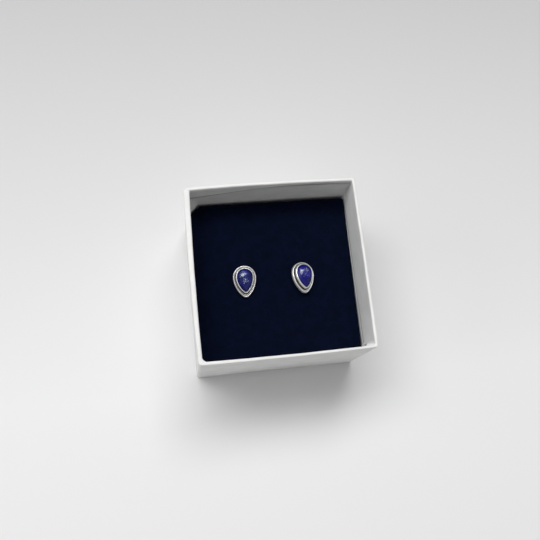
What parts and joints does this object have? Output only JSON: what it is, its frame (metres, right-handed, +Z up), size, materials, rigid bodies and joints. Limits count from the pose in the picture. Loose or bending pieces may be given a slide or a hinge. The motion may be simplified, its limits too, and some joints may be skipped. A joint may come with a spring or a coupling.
{
  "type": "stud earrings in gift box",
  "caption": "Pair of teardrop stud earrings with blue cabochons in bordered silver bezels, standing in the velvet pad of an open square card gift box.",
  "frame": {"origin": "middle of the box's underside", "axes": "+Z up, +Y to the back of the box, where the studs' round heads point, +X to the right stud"},
  "size_m": [0.05, 0.05, 0.038],
  "materials": {
    "card": "white paper-wrapped card, matt",
    "velvet": "dark navy velvet nap",
    "silver": "polished silver, darker in the grooves",
    "lapis": "polished lapis lazuli with pale flecks"
  },
  "bodies": {
    "root": {"box_tray": "card", "velvet_pad": "velvet", "left_setting": "silver", "left_stone": "lapis", "right_setting": "silver", "right_stone": "lapis"}
  },
  "joints": []
}
